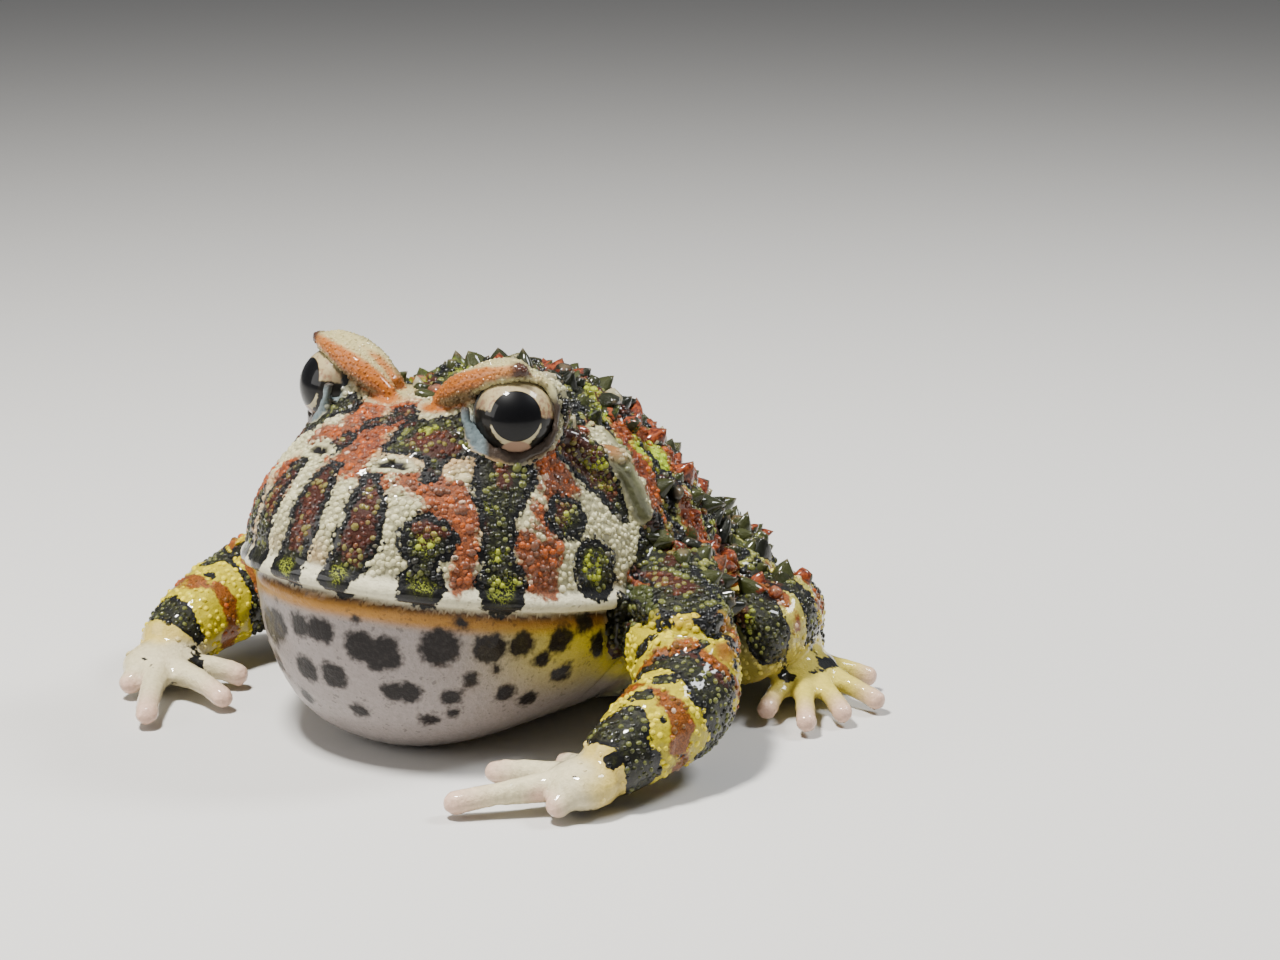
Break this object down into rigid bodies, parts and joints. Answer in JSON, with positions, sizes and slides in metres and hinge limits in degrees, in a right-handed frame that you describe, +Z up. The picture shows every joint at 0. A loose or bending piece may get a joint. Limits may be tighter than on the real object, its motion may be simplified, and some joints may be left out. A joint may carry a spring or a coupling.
{
  "type": "argentine horned frog",
  "caption": "Life-size model of a sitting horned frog with a broad head, wide mouth, raised eyes with fleshy horned lids, warty domed back and short splayed limbs.",
  "frame": {"origin": "centre of the footprint of the whole model at floor level", "axes": "+Z up, -Y where the snout points, +X the frog's own left side"},
  "size_m": [0.1042, 0.095, 0.0565],
  "materials": {
    "skin_head": "wet gloss skin, beaded",
    "skin_jaw": "wet gloss skin",
    "skin_torso": "wet gloss skin, warty",
    "skin_eyelid": "wet gloss skin",
    "skin_limb": "wet gloss skin",
    "eye": "polished"
  },
  "bodies": {
    "root": {"head": "skin_head", "lower_jaw": "skin_jaw", "torso": "skin_torso", "eye_left": "eye", "eyelid_horn_left": "skin_eyelid", "upper_arm_left": "skin_limb", "forearm_left": "skin_limb", "hand_left": "skin_limb", "thigh_left": "skin_limb", "shank_left": "skin_limb", "foot_left": "skin_limb", "eye_right": "eye", "eyelid_horn_right": "skin_eyelid", "upper_arm_right": "skin_limb", "forearm_right": "skin_limb", "hand_right": "skin_limb", "thigh_right": "skin_limb", "shank_right": "skin_limb", "foot_right": "skin_limb"}
  },
  "joints": []
}
